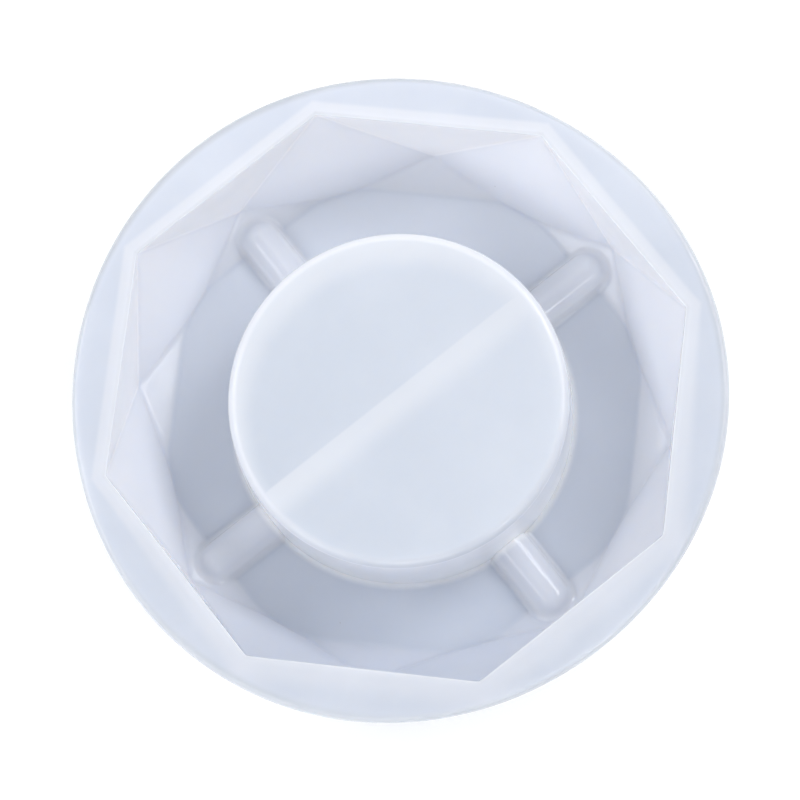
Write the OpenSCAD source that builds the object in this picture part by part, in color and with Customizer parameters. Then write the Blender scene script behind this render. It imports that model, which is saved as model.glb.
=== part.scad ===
// Soft casting mould for a faceted eight-sided tray with a round well and four rests.
// The cavity opens upwards. The tray is cast face down, so the mould's floor shapes its top.
// Millimetres, +Z up out of the mouth, origin at the centre of the underside.
// +X lies along the web under the core and along one pair of rest ridges.
// The moulding is drawn as the regions that make it up, which touch face to face.

/* [Rim] */
// Outside diameter of the flat rim
rim_d = 131; // [128:0.5:150]
// Thickness of the flat rim, whose outer edge is fully rounded
rim_t = 2.5; // [1.6:0.1:4]

/* [Cavity] */
// Width of the eight-sided mouth from corner to corner
mouth_w = 119.2; // [114:0.2:122]
// Depth from the top of the rim to the cavity floor
cavity_d = 24.8; // [20:0.2:32]
// Height of the upright lip at the corners of the mouth, above the corner facets
mouth_lip = 0.3; // [0.2:0.1:1]
// Height above the floor of the point of each upright three-sided facet
facet_tip_h = 3.5; // [2:0.1:6]
// Width of the cavity floor between the feet of opposite sloping facets
floor_w = 95; // [92:0.5:98]
// Thickness of the walls and of the floor
wall_t = 2.7; // [2:0.1:3.4]

/* [Core] */
// Diameter of the round core at the top
core_d = 68.4; // [56:0.2:76]
// How much wider the core's radius is at its foot
core_draft = 0.6; // [0:0.1:1.5]
// How far the core's top lies below the top of the rim
core_drop = 5.7; // [3:0.1:12]
// Thickness of the skin that closes the core's top
core_skin_t = 2.5; // [1.6:0.1:4]
// Radius of the core's rounded top edge
core_edge_r = 2.0; // [0.4:0.1:2.2]
// Thickness of the stiffening web inside the hollow core
web_t = 2.8; // [1.6:0.1:5]

/* [Rest ridges] */
// Width of each half-round ridge
rest_w = 8.5; // [6:0.1:10]
// Distance from the centre to the outer tip of each ridge
rest_reach = 53.4; // [50:0.1:54]

/* [Hidden] */
FACETS = 8;
RESTS = 4;
$fn = 96;

step = 360 / FACETS;
half_step = step / 2;
quarter = 360 / RESTS;
reach = 200; // longer than the whole mould, for the solids that only cut

rim_r = rim_d / 2;
mouth_r = mouth_w / 2;
mouth_flat = mouth_r * cos(half_step);
overall_h = cavity_d + wall_t;
rim_under = overall_h - rim_t;
tip_z = wall_t + facet_tip_h;
floor_flat = floor_w / 2;

// A corner facet runs from the lip at a corner of the mouth down to the points of its two
// upright facets, and on to the floor.
lip_z = overall_h - mouth_lip;
corner_lean = atan((mouth_r - mouth_flat * cos(half_step)) / (lip_z - tip_z));
corner_facet = [mouth_r, lip_z, corner_lean];
floor_corner = mouth_r - (lip_z - wall_t) * tan(corner_lean);

// A foot facet runs from the point of an upright facet down to the floor.
foot_lean = atan((mouth_flat - floor_flat) / facet_tip_h);
foot_facet = [floor_flat, wall_t, foot_lean];

core_r = core_d / 2;
core_foot_r = core_r + core_draft;
core_z = overall_h - core_drop;
core_under = core_z - core_skin_t;
rest_r = rest_w / 2;

thin_silicone = [0.85, 0.90, 0.95];
thick_silicone = [0.90, 0.92, 0.97];

// Everything outside a leaning facet, after the facet is moved outwards by grow.
// A facet is [distance from the axis, height of that point, lean from upright].
module outside(azimuth, facet, grow) {
    rotate([0, 0, azimuth])
        translate([facet[0], 0, facet[1]])
            rotate([0, facet[2], 0])
                translate([grow, -reach / 2, -reach / 2])
                    cube(reach);
}

// The faceted cup between two heights, with all of its faces moved outwards by grow.
// corners and feet list which corner facets and foot facets are cut.
module cup(grow, low, high, corners, feet) {
    difference() {
        translate([0, 0, low])
            rotate([0, 0, half_step])
                cylinder(r = (mouth_flat + grow) / cos(half_step), h = high - low, $fn = FACETS);
        for (i = corners) {
            outside(i * step + half_step, corner_facet, grow);
        }
        for (i = feet) {
            outside(i * step, foot_facet, grow);
        }
    }
}

// An upright wedge between azimuth 0 and the given angle, which is 90 degrees or less.
module sector(angle) {
    translate([0, 0, -reach / 2])
        linear_extrude(height = reach)
            polygon([[0, 0], [reach, 0], reach * [cos(angle), sin(angle)]]);
}

// Outline of the flat cavity floor: the foot facets' feet, cut by the corner facets' feet.
module floor_outline() {
    intersection() {
        rotate(half_step)
            circle(r = floor_flat / cos(half_step), $fn = FACETS);
        circle(r = floor_corner / cos(half_step), $fn = FACETS);
    }
}

// The whole core from the underside to its rounded top, before it is hollowed.
module core_block() {
    rotate_extrude()
        union() {
            polygon([
                [0, 0],
                [core_foot_r, 0],
                [core_foot_r, wall_t],
                [core_r, core_z - core_edge_r],
                [core_r - core_edge_r, core_z],
                [0, core_z]
            ]);
            intersection() {
                translate([core_r - core_edge_r, core_z - core_edge_r])
                    circle(r = core_edge_r);
                translate([core_r - core_edge_r, core_z - core_edge_r])
                    square(core_edge_r);
            }
        }
}

// The hollow under the core, open at the underside.
module core_hollow() {
    cylinder(r1 = core_foot_r - wall_t, r2 = core_r - wall_t, h = core_under);
}

module rim() {
    color(thin_silicone)
        difference() {
            translate([0, 0, rim_under])
                rotate_extrude()
                    union() {
                        square([rim_r - rim_t / 2, rim_t]);
                        intersection() {
                            translate([rim_r - rim_t / 2, rim_t / 2])
                                circle(r = rim_t / 2);
                            translate([rim_r - rim_t / 2, 0])
                                square(rim_t);
                        }
                    }
            cup(0, rim_under - rim_t, overall_h + rim_t, [0 : FACETS - 1], []);
        }
}

// One corner facet with half of the upright facet and half of the foot facet on each side.
module wall_panel(i) {
    color(thick_silicone)
        rotate([0, 0, i * step])
            intersection() {
                difference() {
                    cup(wall_t, 0, rim_under, [0], [0, 1]);
                    cup(0, wall_t, overall_h, [0], [0, 1]);
                    translate([0, 0, -wall_t])
                        linear_extrude(height = 2 * wall_t)
                            floor_outline();
                }
                sector(step);
            }
}

module floor_quarter(i) {
    color(thin_silicone)
        rotate([0, 0, i * quarter])
            difference() {
                intersection() {
                    linear_extrude(height = wall_t)
                        floor_outline();
                    translate([0, 0, -wall_t])
                        cube([reach, reach, 3 * wall_t]);
                }
                translate([0, 0, -wall_t])
                    cylinder(r = core_foot_r, h = 3 * wall_t);
            }
}

module core_wall() {
    color(thick_silicone)
        difference() {
            core_block();
            core_hollow();
            translate([0, 0, core_under])
                cylinder(r = rim_r, h = overall_h);
        }
}

module core_top() {
    color(thin_silicone)
        difference() {
            core_block();
            translate([0, 0, core_under - overall_h])
                cylinder(r = rim_r, h = overall_h);
        }
}

module core_web() {
    color(thick_silicone)
        intersection() {
            core_hollow();
            translate([-reach / 2, -web_t / 2, 0])
                cube([reach, web_t, core_under]);
        }
}

// A half-round bar with a domed end, lying on the floor from the core to a foot facet.
module rest_ridge(i) {
    color(thick_silicone)
        rotate([0, 0, i * quarter])
            difference() {
                intersection() {
                    translate([0, 0, wall_t])
                        union() {
                            rotate([0, 90, 0])
                                cylinder(r = rest_r, h = rest_reach - rest_r);
                            translate([rest_reach - rest_r, 0, 0])
                                sphere(r = rest_r);
                        }
                    cup(0, wall_t, overall_h, [], [0]);
                }
                core_block();
            }
}

rim();
for (i = [1:FACETS]) {
    wall_panel(i - 1);
}
for (i = [1:RESTS]) {
    floor_quarter(i - 1);
}
core_wall();
core_top();
core_web();
for (i = [1:RESTS]) {
    rest_ridge(i - 1);
}
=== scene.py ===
import math

import bmesh
import bpy
import numpy as np
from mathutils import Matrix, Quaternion, Vector


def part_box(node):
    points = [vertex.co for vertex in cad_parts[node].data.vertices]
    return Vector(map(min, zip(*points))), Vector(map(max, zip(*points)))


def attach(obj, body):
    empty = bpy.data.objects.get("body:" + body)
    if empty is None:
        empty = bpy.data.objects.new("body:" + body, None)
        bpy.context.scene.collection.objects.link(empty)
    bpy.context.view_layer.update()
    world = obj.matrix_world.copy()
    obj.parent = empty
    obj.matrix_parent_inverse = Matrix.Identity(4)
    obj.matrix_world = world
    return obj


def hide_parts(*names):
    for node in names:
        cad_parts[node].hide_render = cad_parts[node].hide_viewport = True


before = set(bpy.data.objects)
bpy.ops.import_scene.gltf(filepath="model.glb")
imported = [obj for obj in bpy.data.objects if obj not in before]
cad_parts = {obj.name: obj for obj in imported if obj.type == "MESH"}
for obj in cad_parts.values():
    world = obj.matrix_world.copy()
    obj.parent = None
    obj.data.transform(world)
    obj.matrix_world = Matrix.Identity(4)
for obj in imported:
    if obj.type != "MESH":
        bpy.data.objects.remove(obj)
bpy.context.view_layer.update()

# The looks of a milky silicone casting mould, in metres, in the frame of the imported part.
# The real mould is one continuous moulding, so it is built here as one closed mesh:
# a loft around the vertical axis, with the four rest ridges added and the two hollows cut.

MM = 0.001

# ---------------------------------------------------------------- sizes from the frame

rim_low, rim_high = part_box("rim")
overall_h = rim_high.z
rim_r = rim_high.x
rim_t = rim_high.z - rim_low.z
rim_under = rim_low.z

wall_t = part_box("floor_quarter_1")[1].z
floor_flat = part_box("floor_quarter_1")[1].x
mouth_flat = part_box("wall_panel_1")[1].x - wall_t

core_low, core_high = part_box("core_top")
core_r = -core_low.x
core_z = core_high.z
core_under = core_low.z
core_foot_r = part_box("core_wall")[1].x
web_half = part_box("core_web")[1].y

rest_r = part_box("rest_ridge_1")[1].y
rest_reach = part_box("rest_ridge_1")[1].x

# ---------------------------------------------------------------- sizes the frame's boxes don't give

MOUTH_LIP = 0.3 * MM      # upright lip at the corners of the mouth
FACET_TIP_H = 3.5 * MM    # point of each upright facet above the cavity floor
CORE_EDGE_R = 2.0 * MM    # rounded top edge of the core
CORE_FOOT_FILLET = 0.9 * MM
MOUTH_ROUND = 0.3 * MM    # rounded edge between the mouth and the rim
CREASE_ROUND = 0.4 * MM   # an upright facet blends with the rest where radii differ by less than this
FOOT_CREASE_ROUND = 0.9 * MM    # and a foot facet with a corner facet
FLOOR_ROUND = 0.6 * MM    # how far the rounding at the edge of the cavity floor reaches inwards
FLOOR_RISE = 0.35 * MM    # and how high it reaches
RIM_FILLET = 0.8 * MM     # under the rim, where it meets the wall
FOOT_ROUND = 0.4 * MM     # outer edge of the underside
RIM_WARP = 0.45 * MM      # how far the soft rim is out of round
RIM_LOBES = 3
RIM_WARP_TURN = math.radians(86)
POCKET_CORNER_R = 2.5 * MM
POCKET_EDGE_R = 0.8 * MM
REST_FILLET = 1.3 * MM    # round the foot of each ridge
REST_SUNK = 0.4 * MM      # how far each ridge reaches into the floor, so that the two join
REST_SKIM = 0.003 * MM    # and how far its edge lies under the floor's surface
REST_IN_CORE = 1.2 * MM   # how far its inner end lies inside the core's wall
RESTS = 4
MERGE = 0.002 * MM        # points closer than this become one
SHARP_ANGLE = math.radians(21)    # edges that turn by more than this are shaded as sharp

HALVINGS = 30             # in the search for the height of a ridge
AROUND = 384              # steps round the axis, a multiple of 16 so that each corner has a step
FACETS = 8
STEP = 2 * math.pi / FACETS
HALF_STEP = STEP / 2
CORNER_X, CORNER_Y = math.cos(HALF_STEP), math.sin(HALF_STEP)    # the way to the first corner

tip_z = wall_t + FACET_TIP_H
lip_z = overall_h - MOUTH_LIP
mouth_r = mouth_flat / CORNER_X
corner_slope = (mouth_r - mouth_flat * CORNER_X) / (lip_z - tip_z)    # outwards per height
foot_slope = (mouth_flat - floor_flat) / FACET_TIP_H

# ---------------------------------------------------------------- the faceted cup as a loft

step_turn = 2 * math.pi / AROUND
# Finer steps on both sides of each corner, where the mouth turns.
near_corners = [i * STEP + HALF_STEP + thirds / 3 * step_turn
                for i in range(FACETS) for thirds in (-2, -1, 1, 2)]
azimuth = np.sort(np.concatenate([np.arange(AROUND) * step_turn, near_corners]))
fold = np.abs((azimuth + HALF_STEP) % STEP - HALF_STEP)
flat_cos = np.cos(fold)
corner_cos = np.cos(HALF_STEP - fold)
ONES = np.ones_like(azimuth)


def upright(grow):
    """Radius of the upright facets, moved outwards by grow."""
    return (mouth_flat + grow) / flat_cos


def corner_reach(z, grow):
    return mouth_r - (lip_z - z) * corner_slope + grow * math.hypot(1, corner_slope)


def foot_reach(z, grow):
    return floor_flat + (z - wall_t) * foot_slope + grow * math.hypot(1, foot_slope)


def blended_min(a, b, reach):
    """The smaller of two radii, with a smooth blend where they differ by less than reach."""
    near = np.maximum(reach - np.abs(a - b), 0)
    return np.minimum(a, b) - near ** 2 / (4 * reach)


def skin(z, grow):
    """Radius of the faceted skin at height z: the innermost of its three kinds of facet."""
    sloping = blended_min(corner_reach(z, grow) / corner_cos, foot_reach(z, grow) / flat_cos,
                          FOOT_CREASE_ROUND)
    return blended_min(upright(grow), sloping, CREASE_ROUND)


def upper_crease(grow):
    """Height at which an upright facet meets a corner facet, round the axis."""
    gap = corner_reach(lip_z, grow) - upright(grow) * corner_cos
    return lip_z - gap / corner_slope


def lower_crease(grow):
    """Height at which a corner facet meets a foot facet, round the axis."""
    gap = corner_reach(0, grow) * flat_cos - foot_reach(0, grow) * corner_cos
    return gap / (foot_slope * corner_cos - corner_slope * flat_cos)


# Where the rings beside a crease lie, in widths of its blend.
CREASE_RINGS = (-1.15, -1, -0.7, -0.4, -0.13, 0.13, 0.4, 0.7, 1, 1.15)


def facet_rings(low, high, grow):
    """Rings up the skin from height low to height high, close together where facets meet."""
    lower = np.clip(lower_crease(grow), low, high)
    upper = np.clip(upper_crease(grow), low, high)
    middle = (lower + upper) / 2
    made = []
    lower_reach = FOOT_CREASE_ROUND / (foot_slope - corner_slope)
    upper_reach = CREASE_ROUND / corner_slope
    for crease, reach, least, most in ((lower, lower_reach, low, middle),
                                       (upper, upper_reach, middle, high)):
        for share in CREASE_RINGS:
            z = np.clip(crease + share * reach, least, most)
            made.append((skin(z, grow), z))
    return made


def arc(start, end, steps):
    return [math.radians(start + (end - start) * i / steps) for i in range(steps + 1)]


rim_edge_r = rim_r - RIM_WARP * (1 - np.cos(RIM_LOBES * (azimuth - RIM_WARP_TURN)))
rings = []


def ring(r, z):
    rings.append((r * ONES, z * ONES))


# From the middle of the core's top, outwards and down to the cavity floor.
for t in arc(90, 0, 8):
    ring(core_r - CORE_EDGE_R * (1 - math.cos(t)), core_z - CORE_EDGE_R * (1 - math.sin(t)))
for t in arc(0, 90, 8):
    ring(core_foot_r + CORE_FOOT_FILLET * (1 - math.cos(t)),
         wall_t + CORE_FOOT_FILLET * (1 - math.sin(t)))

# Across the floor, round its edge and up the facets to the mouth.
edge = skin(wall_t, 0)
foot = skin(wall_t + FLOOR_RISE, 0)
ring(edge - 1.2 * FLOOR_ROUND, wall_t)
for t in np.linspace(0, 1, 7):
    ring(edge - FLOOR_ROUND * (1 - t) ** 2 + (foot - edge) * t ** 2, wall_t + FLOOR_RISE * t ** 2)
mouth_z = overall_h - MOUTH_ROUND
rings += facet_rings(wall_t + FLOOR_RISE, mouth_z, 0)
for t in arc(0, 90, 6):
    ring(skin(mouth_z, 0) + MOUTH_ROUND * (1 - math.cos(t)), overall_h - MOUTH_ROUND * (1 - math.sin(t)))

# Over the rim, round its edge and back underneath.
for t in arc(90, -90, 16):
    ring(rim_edge_r - rim_t / 2 * (1 - math.cos(t)), overall_h - rim_t / 2 * (1 - math.sin(t)))
for t in arc(90, 0, 5):
    z = rim_under - RIM_FILLET * (1 - math.sin(t))
    ring(skin(z, wall_t) + RIM_FILLET * (1 - math.cos(t)), z)

# Down the outside and round the outer edge of the underside.
rings += facet_rings(FOOT_ROUND, rim_under - RIM_FILLET, wall_t)[::-1]
for t in arc(0, 90, 4):
    ring(skin(FOOT_ROUND, wall_t) - FOOT_ROUND * (1 - math.cos(t)), FOOT_ROUND * (1 - math.sin(t)))


def place(name, data):
    """A new object in the scene, made from a mesh, a light or a camera."""
    placed = bpy.data.objects.new(name, data)
    bpy.context.scene.collection.objects.link(placed)
    return placed


def mesh_from_loops(name, loops, closed=True):
    """A closed mesh through equal rows of points, with a flat cap on the first and the last.

    Where the rows aren't closed into loops, both ends of each have to coincide with those of another
    row, so that merging them closes the mesh.
    """
    count = len(loops[0])
    bm = bmesh.new()
    rows = [[bm.verts.new(p) for p in loop] for loop in loops]
    for lower, upper in zip(rows, rows[1:]):
        for i in range(count if closed else count - 1):
            k = (i + 1) % count
            bm.faces.new((lower[i], lower[k], upper[k], upper[i]))
    bm.faces.new(rows[0])
    bm.faces.new(rows[-1])
    bmesh.ops.remove_doubles(bm, verts=bm.verts, dist=MERGE)
    bmesh.ops.dissolve_degenerate(bm, edges=bm.edges, dist=MERGE)
    bmesh.ops.recalc_face_normals(bm, faces=bm.faces)
    mesh = bpy.data.meshes.new(name)
    bm.to_mesh(mesh)
    bm.free()
    return place(name, mesh)


def loft_loop(r, z):
    return np.stack([r * np.cos(azimuth), r * np.sin(azimuth), z], 1).tolist()


mould = mesh_from_loops("silicone_mould", [loft_loop(r, z) for r, z in rings])

# ---------------------------------------------------------------- rest ridges and the hollow core


def rest_height(x, y, off_axis):
    """Height of the cavity's bottom at (x, y), with the ridge along +X blended in by a fillet.

    off_axis is the distance in plan from the ridge's axis, or from the centre of its domed end.
    Heights are found by halving, on the distances to the ridge and to the nearest of the floor, the
    foot facet and the corner facets.
    """
    low = np.full_like(x, wall_t - rest_r)
    high = np.full_like(x, wall_t + 2 * rest_r)
    for _ in range(HALVINGS):
        z = (low + high) / 2
        bar = np.hypot(off_axis, z - wall_t) - rest_r
        foot = (foot_reach(z, 0) - x) / math.hypot(1, foot_slope)
        corner = (corner_reach(z, 0) - x * CORNER_X - np.abs(y) * CORNER_Y) / math.hypot(1, corner_slope)
        bed = np.minimum(np.minimum(z - wall_t, foot), corner)
        blend = np.hypot(np.maximum(REST_FILLET - bar, 0), np.maximum(REST_FILLET - bed, 0))
        distance = np.maximum(REST_FILLET, np.minimum(bar, bed)) - blend
        low = np.where(distance < 0, z, low)
        high = np.where(distance < 0, high, z)
    return high


def ridge(name, turn):
    """A rest ridge with a domed end and a fillet round its foot, as a patch sunk into the floor."""
    foot_off = math.sqrt((rest_r + REST_FILLET) ** 2 - REST_FILLET ** 2)
    meet = math.degrees(math.asin(REST_FILLET / (rest_r + REST_FILLET)))
    offs = [rest_r * math.sin(t) for t in arc(0, 90 - meet, 20)]
    offs += [foot_off - REST_FILLET * math.cos(t) for t in arc(meet, 90, 8)[1:]]
    offs.append(foot_off + REST_FILLET / 4)
    offs = np.array(offs)

    far_off = rest_reach      # an off-axis distance at which the ridge adds nothing
    straight = rest_reach - rest_r
    start = core_r - REST_IN_CORE
    along = np.linspace(start, straight, 14)[:-1]
    spine = [(x, 0.0, -1.0) for x in along]
    spine += [(straight, math.cos(t), math.sin(t)) for t in arc(-90, 90, 48)]
    spine += [(x, 0.0, 1.0) for x in along[::-1]]
    sections = []
    for x0, dx, dy in spine:
        x, y = x0 + offs * dx, offs * dy
        top = rest_height(x, y, offs) - REST_SKIM
        bottom = rest_height(x, y, np.full_like(offs, far_off)) - REST_SUNK
        px = np.concatenate([x, x[::-1]])
        py = np.concatenate([y, y[::-1]])
        pz = np.concatenate([top, bottom[::-1]])
        sections.append(np.stack([px * math.cos(turn) - py * math.sin(turn),
                                  px * math.sin(turn) + py * math.cos(turn), pz], 1).tolist())
    return mesh_from_loops(name, sections, closed=False)


def pocket(name, side):
    """Half of the hollow under the core, with rounded corners, rounded inner edges and draft."""

    def outline(z, inset):
        share = max(z, 0) / core_z
        r = core_foot_r + (core_r - core_foot_r) * share - wall_t - inset
        h = web_half + inset
        c = POCKET_CORNER_R
        reach = r - c
        x = math.sqrt(reach ** 2 - (h + c) ** 2)
        turn = math.degrees(math.asin((h + c) / reach))
        points = [(x + c * math.cos(t), h + c + c * math.sin(t)) for t in arc(-90, turn, 12)]
        points += [(r * math.cos(t), r * math.sin(t)) for t in arc(turn, 180 - turn, 96)[1:-1]]
        points += [(-x + c * math.cos(t), h + c + c * math.sin(t)) for t in arc(180 - turn, 270, 12)]
        return [(px, side * py, z) for px, py in points]

    loops = [outline(-wall_t, 0), outline(core_under - POCKET_EDGE_R, 0)]
    for t in arc(0, 90, 6)[1:]:
        loops.append(outline(core_under - POCKET_EDGE_R * (1 - math.sin(t)),
                             POCKET_EDGE_R * (1 - math.cos(t))))
    return mesh_from_loops(name, loops)


def combine(target, tool, operation):
    change = target.modifiers.new(tool.name, "BOOLEAN")
    change.operation = operation
    change.solver = "EXACT"
    change.object = tool
    graph = bpy.context.evaluated_depsgraph_get()
    made = bpy.data.meshes.new_from_object(target.evaluated_get(graph))
    target.modifiers.clear()
    target.data = made
    bpy.data.objects.remove(tool)


for i in range(RESTS):
    combine(mould, ridge(f"ridge_{i + 1}", i * 2 * math.pi / RESTS), "UNION")
for side in (1, -1):
    combine(mould, pocket("hollow", side), "DIFFERENCE")

mould.data.name = "silicone_mould"
for face in mould.data.polygons:
    face.use_smooth = True
mould.data.set_sharp_from_angle(angle=SHARP_ANGLE)
# Weighting the normals by area keeps the flats flat right up to the small rounded edges.
flats = mould.modifiers.new("flat_normals", "WEIGHTED_NORMAL")
flats.weight = 100
flats.keep_sharp = True

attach(mould, "root")
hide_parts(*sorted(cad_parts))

# ---------------------------------------------------------------- silicone

# Base colours of the regions. Thin skins let some of the light through, so they look darker and bluer.
# A pair holds the colours at the two ends of a gradient.
# Painted light and shade among them: the rim, its band, the core's top and the floor are painted paler
# on one side and darker on the other; the rim's outer edge, the mouth's edge and one side of the walls
# are painted darker; the upright facets, the core's foot and the ridges' feet are painted paler; the
# core's top edge is painted paler on one side and darker on the other.
RIM_SHADE_AND_LIGHT = ((0.527, 0.562, 0.628), (0.578, 0.613, 0.684))
RIM_EDGE_SHADE = (0.48, 0.51, 0.56)
MOUTH_EDGE_SHADE = (0.58, 0.60, 0.65)
RIM_BAND_SHADE_AND_LIGHT = ((0.58, 0.605, 0.66), (0.648, 0.668, 0.718))
CORE_SKIN_SHADE_AND_LIGHT = ((0.545, 0.585, 0.655), (0.59, 0.625, 0.69))
CORE_EDGE_LIGHT_AND_SHADE = ((0.53, 0.56, 0.62), (0.74, 0.755, 0.80))
CORE_BAND = (0.635, 0.66, 0.71)
CORE_SIDE_AND_FOOT_LIGHT = ((0.90, 0.91, 0.935), (0.785, 0.80, 0.85))
FLOOR_SHADE_AND_LIGHT = ((0.595, 0.635, 0.715), (0.655, 0.69, 0.765))
WALL = ((0.67, 0.695, 0.755), (0.725, 0.74, 0.79))
UPRIGHT_PAINTED_LIGHT = (0.775, 0.785, 0.82)
WALL_PAINTED_SHADE = (0.585, 0.62, 0.70)
OUTSIDE = ((0.60, 0.62, 0.67), (0.66, 0.68, 0.725))
REST = (0.655, 0.68, 0.745)
REST_FOOT_PAINTED_LIGHT = (0.71, 0.73, 0.78)
DUST = (0.45, 0.45, 0.46)
CLOUD = (0.80, 0.82, 0.86)

# Directions from the axis in which a gradient's second colour lies. The pale sides are painted light,
# and the walls' darker side is painted shade.
RIM_PAINTED_LIGHT_SIDE = math.radians(76)
BAND_PAINTED_LIGHT_SIDE = math.radians(61)
CORE_PAINTED_LIGHT_SIDE = math.radians(-20)
FLOOR_PAINTED_LIGHT_SIDE = math.radians(51)
# The walls are painted darker on this side, as painted shade.
PAINTED_SHADE_SIDE = math.radians(-129)    # the side on which the walls are darker
# The core's rounded top edge is painted darker towards this side, as painted shade, and paler on the
# other.
BEHIND = math.radians(-110)   # the side towards which what lies below a skin fades out

# Widths of the bands.
RIM_EDGE_SHADE_W = 1.3 * MM
WEB_FADE = 5 * MM
BAND_FADE = 4 * MM
CORE_BAND_W = 5 * MM
CORE_BAND_SHIFT = 4 * MM
REST_FOOT_LIGHT_W = 1.2 * MM

CLOUDING = 0.10               # how strongly the clouds and the dust cover the colour below
DUST_COVER = 0.5
SCATTER_LENGTH = 3.5 * MM
SILICONE_IOR = 1.41

silicone = bpy.data.materials.new("silicone")
silicone.use_nodes = True
tree = silicone.node_tree
shader = tree.nodes["Principled BSDF"]


def put(socket, value):
    if isinstance(value, bpy.types.NodeSocket):
        tree.links.new(value, socket)
    else:
        socket.default_value = value


def math_node(operation, a, b=0.0):
    node = tree.nodes.new("ShaderNodeMath")
    node.operation = operation
    put(node.inputs[0], a)
    put(node.inputs[1], b)
    return node.outputs[0]


def add(a, b):
    return math_node("ADD", a, b)


def subtract(a, b):
    return math_node("SUBTRACT", a, b)


def multiply(a, b):
    return math_node("MULTIPLY", a, b)


def ramp(value, low, high):
    """0 below low, 1 above high and a smooth step between. It falls instead if low is above high."""
    node = tree.nodes.new("ShaderNodeMapRange")
    node.interpolation_type = "SMOOTHSTEP"
    put(node.inputs["Value"], value)
    put(node.inputs["From Min"], low)
    put(node.inputs["From Max"], high)
    return node.outputs["Result"]


def mix(share, a, b):
    """Colour a where share is 0 and b where it is 1."""
    node = tree.nodes.new("ShaderNodeMix")
    node.data_type = "RGBA"
    put(node.inputs[0], share)
    for socket, colour in zip(node.inputs[6:8], (a, b)):
        put(socket, colour + (1.0,) if isinstance(colour, tuple) else colour)
    return node.outputs["Result"]


def distance(x, y):
    return math_node("SQRT", add(multiply(x, x), multiply(y, y)))


def along(turn):
    """How far the surface point lies from the axis in one direction."""
    return add(multiply(px, math.cos(turn)), multiply(py, math.sin(turn)))


def side_share(turn, reach):
    """0 on one side of the object and 1 on the side in the given direction."""
    return add(0.5, multiply(along(turn), 0.5 / reach))


def noise(point, scale, detail, roughness=0.5):
    node = tree.nodes.new("ShaderNodeTexNoise")
    put(node.inputs["Vector"], point)
    node.inputs["Scale"].default_value = scale
    node.inputs["Detail"].default_value = detail
    node.inputs["Roughness"].default_value = roughness
    return node.outputs["Fac"]


point = tree.nodes.new("ShaderNodeTexCoord").outputs["Object"]
parts = tree.nodes.new("ShaderNodeSeparateXYZ")
put(parts.inputs[0], point)
px, py, pz = parts.outputs
off_x = math_node("ABSOLUTE", px)
off_y = math_node("ABSOLUTE", py)
radius = distance(px, py)
# Distance from the axis in whichever of the eight flats' directions is the furthest.
diagonal = multiply(add(off_x, off_y), math.sqrt(0.5))
flat_off = math_node("MAXIMUM", math_node("MAXIMUM", off_x, off_y), diagonal)
# And the same for the eight corners' directions.
corner_off = math_node("MAXIMUM", add(multiply(off_x, CORNER_X), multiply(off_y, CORNER_Y)),
                       add(multiply(off_x, CORNER_Y), multiply(off_y, CORNER_X)))
# How far the point lies outside the cavity's skin: 0 on its facets and wall_t on the outer faces.
past_corner = multiply(subtract(corner_off, add(mouth_r, multiply(subtract(pz, lip_z), corner_slope))),
                       1 / math.hypot(1, corner_slope))
past_foot = multiply(subtract(flat_off, add(floor_flat, multiply(subtract(pz, wall_t), foot_slope))),
                     1 / math.hypot(1, foot_slope))
past_skin = math_node("MAXIMUM", math_node("MAXIMUM", subtract(flat_off, mouth_flat), past_corner),
                      past_foot)

# Inside the cavity: walls, then ridges, core and floor.
wall_share = multiply(subtract(pz, wall_t), 1 / (overall_h - wall_t))
colour = mix(wall_share, *WALL)
# Painted light: the upright facets are painted paler than the sloping facets below them.
colour = mix(ramp(flat_off, mouth_flat - 0.2 * MM, mouth_flat - 0.05 * MM), colour, UPRIGHT_PAINTED_LIGHT)
# Painted shade: the walls are painted darker on one side.
colour = mix(ramp(along(PAINTED_SHADE_SIDE), 0.55 * mouth_flat, mouth_flat), colour, WALL_PAINTED_SHADE)
beside_rest = math_node("MINIMUM", off_x, off_y)
rest_end = distance(math_node("MAXIMUM", subtract(radius, rest_reach - rest_r), 0.0), beside_rest)
# Painted light round the foot of each ridge, lifting the shade in its fillet.
rest_foot_light = ramp(rest_end, rest_r + REST_FOOT_LIGHT_W, rest_r)
floor_share = ramp(pz, wall_t + 0.3 * MM, wall_t)
# Painted light and shade: the floor is painted paler on one side and darker on the other.
colour = mix(floor_share, colour, mix(side_share(FLOOR_PAINTED_LIGHT_SIDE, floor_flat), *FLOOR_SHADE_AND_LIGHT))
colour = mix(rest_foot_light, colour, REST_FOOT_PAINTED_LIGHT)
colour = mix(ramp(rest_end, rest_r - 0.2 * MM, rest_r - 1.6 * MM), colour, REST)
# The core's side is painted paler towards its foot and on the floor just round it: painted light that
# lifts the shade in the crevice there.
core_share = ramp(pz, wall_t, core_z - CORE_EDGE_R)
by_core = ramp(radius, core_foot_r + 1.5 * MM, core_foot_r)
colour = mix(by_core, colour, mix(core_share, *CORE_SIDE_AND_FOOT_LIGHT))

# The core's top: a skin through which the web and the core's wall show as paler bands. It is also
# painted paler on one side and darker on the other, and its rounded edge gets painted light and shade.
over_web = multiply(ramp(py, web_half + 0.3 * MM, web_half - 0.3 * MM),
                    ramp(py, -web_half - WEB_FADE, -web_half + 0.3 * MM))
from_shifted = distance(subtract(px, CORE_BAND_SHIFT * math.cos(BEHIND)),
                        subtract(py, CORE_BAND_SHIFT * math.sin(BEHIND)))
over_core_wall = ramp(from_shifted, core_r - CORE_BAND_W, core_r)
# Painted light and shade: the core's top is painted paler on one side and darker on the other.
core_top = mix(side_share(CORE_PAINTED_LIGHT_SIDE, core_r), *CORE_SKIN_SHADE_AND_LIGHT)
core_top = mix(math_node("MAXIMUM", over_web, over_core_wall), core_top, CORE_BAND)
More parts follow.
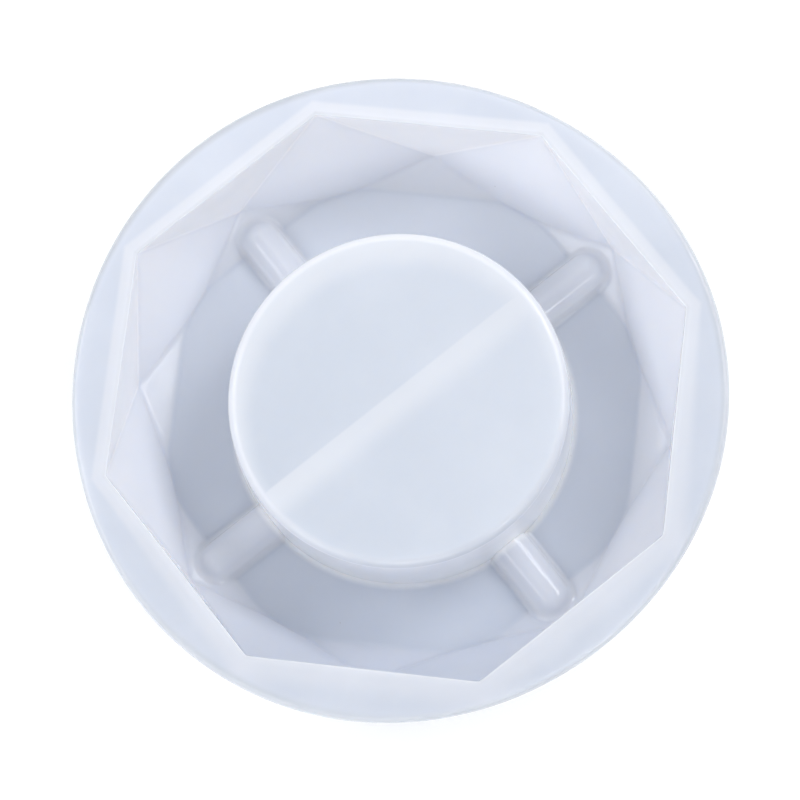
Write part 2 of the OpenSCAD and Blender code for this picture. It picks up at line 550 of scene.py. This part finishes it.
# Painted light and shade on the core's rounded top edge, paler on one side and darker on the other.
core_top = mix(ramp(radius, core_r - 2.2 * MM, core_r - 1.2 * MM), core_top,
               mix(side_share(BEHIND, core_r), *CORE_EDGE_LIGHT_AND_SHADE[::-1]))
on_core_top = multiply(ramp(pz, core_z - CORE_EDGE_R, core_z - 0.6 * CORE_EDGE_R),
                       ramp(radius, core_r + 0.2 * MM, core_r))
colour = mix(on_core_top, colour, core_top)

# The outer faces and the underside.
outside_share = math_node("MAXIMUM", ramp(past_skin, 0.3 * wall_t, 0.7 * wall_t),
                          ramp(pz, 0.5 * wall_t, 0.2 * wall_t))
colour = mix(outside_share, colour, mix(wall_share, *OUTSIDE))

# The rim: a thin flange, paler where it stands on the wall, painted paler on one side and darker on the
# other, and painted darker along the mouth's edge and round its outer edge as painted shade.
fade = multiply(math_node("MAXIMUM", along(BEHIND), 0.0), BAND_FADE / rim_r)
over_wall = ramp(flat_off, add(fade, mouth_flat + wall_t + 0.5 * MM), mouth_flat + wall_t - 0.5 * MM)
# Painted light and shade: the rim is painted paler on one side and darker on the other.
rim = mix(side_share(RIM_PAINTED_LIGHT_SIDE, rim_r), *RIM_SHADE_AND_LIGHT)
# The band over the wall is paler where the silicone is thicker, and painted paler on one side as painted
# light.
rim = mix(over_wall, rim, mix(side_share(BAND_PAINTED_LIGHT_SIDE, rim_r), *RIM_BAND_SHADE_AND_LIGHT))
# Painted shade along the mouth's rounded edge.
rim = mix(ramp(flat_off, mouth_flat + 0.9 * MM, mouth_flat + 0.3 * MM), rim, MOUTH_EDGE_SHADE)
# Painted shade round the rim's outer edge, damping the light that glows through the thin rounded edge.
rim = mix(ramp(radius, rim_r - RIM_EDGE_SHADE_W - 2 * RIM_WARP, rim_r - 2 * RIM_WARP), rim, RIM_EDGE_SHADE)
on_top = ramp(pz, overall_h - 1.5 * MOUTH_ROUND, overall_h - MOUTH_ROUND)
on_flange = multiply(ramp(pz, rim_under - 0.5 * MM, rim_under),
                     ramp(flat_off, mouth_flat + 0.5 * wall_t, mouth_flat + 0.7 * wall_t))
colour = mix(math_node("MAXIMUM", on_top, on_flange), colour, rim)

# Faint clouding through the silicone, and the dust that clings to it.
colour = mix(multiply(ramp(noise(point, 55, 3), 0.35, 0.75), CLOUDING), colour, CLOUD)
dust = tree.nodes.new("ShaderNodeTexVoronoi")
put(dust.inputs["Vector"], point)
dust.inputs["Scale"].default_value = 160
speck = math_node("LESS_THAN", dust.outputs["Distance"], 0.028)
chosen = math_node("GREATER_THAN", noise(point, 420, 1), 0.62)
colour = mix(multiply(multiply(speck, chosen), DUST_COVER), colour, DUST)

put(shader.inputs["Base Color"], colour)
shader.inputs["IOR"].default_value = SILICONE_IOR
shader.inputs["Subsurface Weight"].default_value = 1.0
shader.inputs["Subsurface Radius"].default_value = (1.0, 0.92, 0.84)
shader.inputs["Subsurface Scale"].default_value = SCATTER_LENGTH

# A moulded finish: nearly mirror smooth, with slight haze, gentle waves and fine handling marks.
haze = noise(point, 90, 4, 0.6)
put(shader.inputs["Roughness"], add(0.05, multiply(haze, 0.08)))
waves = noise(point, 60, 2)
fine = multiply(noise(point, 900, 3), 0.04)
bump = tree.nodes.new("ShaderNodeBump")
bump.inputs["Strength"].default_value = 0.60
bump.inputs["Distance"].default_value = 0.20 * MM
put(bump.inputs["Height"], add(waves, fine))
put(shader.inputs["Normal"], bump.outputs["Normal"])

mould.data.materials.clear()
mould.data.materials.append(silicone)

# ---------------------------------------------------------------- floor, light and camera

VIEW_TURN = math.radians(39.03)   # how far the picture's right is turned clockwise from +X
FLOOR_HALF = 3.0
FLOOR_BELOW = 0.05 * MM           # a gap under the mould, so that the two surfaces don't coincide
FLOOR_GLOW = 0.08
WORLD_STRENGTH = 0.60

bm = bmesh.new()
corners = ((-1, -1), (1, -1), (1, 1), (-1, 1))
bm.faces.new([bm.verts.new((x * FLOOR_HALF, y * FLOOR_HALF, -FLOOR_BELOW)) for x, y in corners])
floor_mesh = bpy.data.meshes.new("floor")
bm.to_mesh(floor_mesh)
bm.free()
floor = place("floor", floor_mesh)

pale = bpy.data.materials.new("pale_floor")
pale.use_nodes = True
pale_shader = pale.node_tree.nodes["Principled BSDF"]
pale_shader.inputs["Base Color"].default_value = (0.9, 0.9, 0.9, 1)
pale_shader.inputs["Roughness"].default_value = 0.9
pale_shader.inputs["Emission Color"].default_value = (1, 1, 1, 1)
pale_shader.inputs["Emission Strength"].default_value = FLOOR_GLOW
floor_mesh.materials.append(pale)

world = bpy.data.worlds.new("studio")
bpy.context.scene.world = world
world.use_nodes = True
world.node_tree.nodes["Background"].inputs["Color"].default_value = (0.95, 0.97, 1.0, 1)
world.node_tree.nodes["Background"].inputs["Strength"].default_value = WORLD_STRENGTH


def soft_box(name, seen_azimuth, elevation, distance, width, height, watts):
    """An area light that faces the mould. Its azimuth is the direction in which the picture shows it."""
    a = math.radians(seen_azimuth) - VIEW_TURN
    e = math.radians(elevation)
    towards = Vector((math.cos(a) * math.cos(e), math.sin(a) * math.cos(e), math.sin(e)))
    lamp = bpy.data.lights.new(name, "AREA")
    lamp.shape = "RECTANGLE"
    lamp.size = width
    lamp.size_y = height
    lamp.energy = watts
    holder = place(name, lamp)
    holder.location = towards * distance
    holder.rotation_mode = "QUATERNION"
    holder.rotation_quaternion = towards.to_track_quat("Z", "Y")


# Name, seen azimuth and elevation in degrees, distance, width and height in metres, watts.
soft_box("right_box", 25, 41, 1.2, 0.62, 0.46, 4.1)
soft_box("bright_box", 49, 39, 1.2, 0.30, 0.56, 2.45)
soft_box("left_box", 182, 43, 1.2, 1.0, 0.5, 4.6)
soft_box("left_front_box", 232, 32, 1.2, 0.5, 0.4, 2.2)
soft_box("low_left_box", 212, 10, 1.2, 0.5, 0.2, 0.6)
soft_box("front_box", 272, 34, 1.3, 0.8, 0.6, 3.2)
soft_box("top_box", 95, 62, 1.2, 0.6, 0.5, 0.85)
soft_box("strip", 321, 43, 1.2, 0.3, 0.06, 1.1)

CAMERA_DISTANCE = 0.5596
CAMERA_AZIMUTH = math.radians(-110.44)
CAMERA_ELEVATION = math.radians(77.51)
CAMERA_ROLL = math.radians(-18.17)
AIM = Vector((-0.4 * MM, -1.9 * MM, overall_h))
SENSOR_W = 36             # both in millimetres
FOCAL_LENGTH = 127.8

back = Vector((math.cos(CAMERA_AZIMUTH) * math.cos(CAMERA_ELEVATION),
               math.sin(CAMERA_AZIMUTH) * math.cos(CAMERA_ELEVATION),
               math.sin(CAMERA_ELEVATION)))
lens = bpy.data.cameras.new("camera")
lens.sensor_width = SENSOR_W
lens.lens = FOCAL_LENGTH
camera = place("camera", lens)
camera.rotation_mode = "QUATERNION"
camera.location = AIM + back * CAMERA_DISTANCE
level = back.to_track_quat("Z", "Y")
camera.rotation_quaternion = level @ Quaternion((0, 0, 1), CAMERA_ROLL)
bpy.context.scene.camera = camera

bpy.context.scene.view_settings.view_transform = "Standard"
